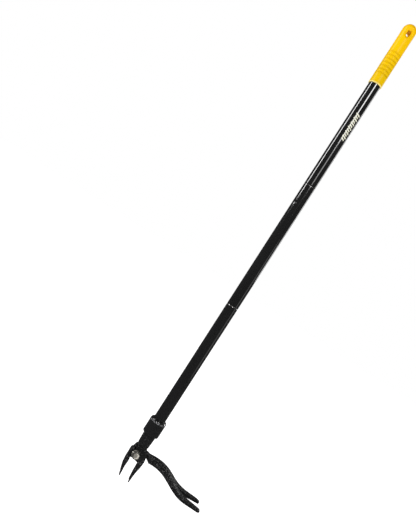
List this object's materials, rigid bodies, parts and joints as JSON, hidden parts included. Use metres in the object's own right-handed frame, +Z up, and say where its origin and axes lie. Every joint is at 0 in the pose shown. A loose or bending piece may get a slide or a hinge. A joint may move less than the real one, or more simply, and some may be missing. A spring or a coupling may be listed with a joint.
{
  "type": "stand up weeder",
  "caption": "Long-handled standing weeder: a black tubular pole with a yellow grip and a forked foot lever that closes a plier-like claw.",
  "frame": {"origin": "centre of the hang hole through the top of the grip", "axes": "+Z up the pole towards the grip's end, +X out along the foot lever, +Y along the pivot bolt from its head to its nut"},
  "size_m": [0.1601, 0.0476, 0.9465],
  "materials": {
    "grip_yellow": "glossy moulded plastic, slightly soft",
    "pole_black": "gloss black powder coat on steel",
    "cast_black": "semi-gloss black paint over a cast surface",
    "zinc_steel": "bright zinc plate",
    "plain_steel": "plain machined steel",
    "nylon": "dull nylon"
  },
  "bodies": {
    "handle": {"grip": "grip_yellow", "pole_top": "pole_black", "pole_middle": "pole_black", "pole_lower": "pole_black", "socket_ferrule": "pole_black", "joint_stud_upper": "plain_steel", "joint_stud_lower": "plain_steel", "joint_socket_upper": "plain_steel", "joint_socket_lower": "plain_steel", "pole_end_nut": "plain_steel", "head_stud": "plain_steel", "ferrule_set_screw": "plain_steel", "head_casting": "cast_black", "pivot_bolt": "zinc_steel", "washer_bolt_head": "zinc_steel", "washer_nut": "zinc_steel", "lock_nut": "zinc_steel", "lock_nut_ring": "nylon"},
    "lever": {"jaw_lever": "cast_black", "pivot_bush": "plain_steel"}
  },
  "joints": [
    {"name": "jaw_pivot", "type": "hinge", "parent": "handle", "child": "lever", "pos_m": [-0.003, 0, -0.8765], "axis": [0, -1, 0], "range_deg": [0, 18]}
  ]
}
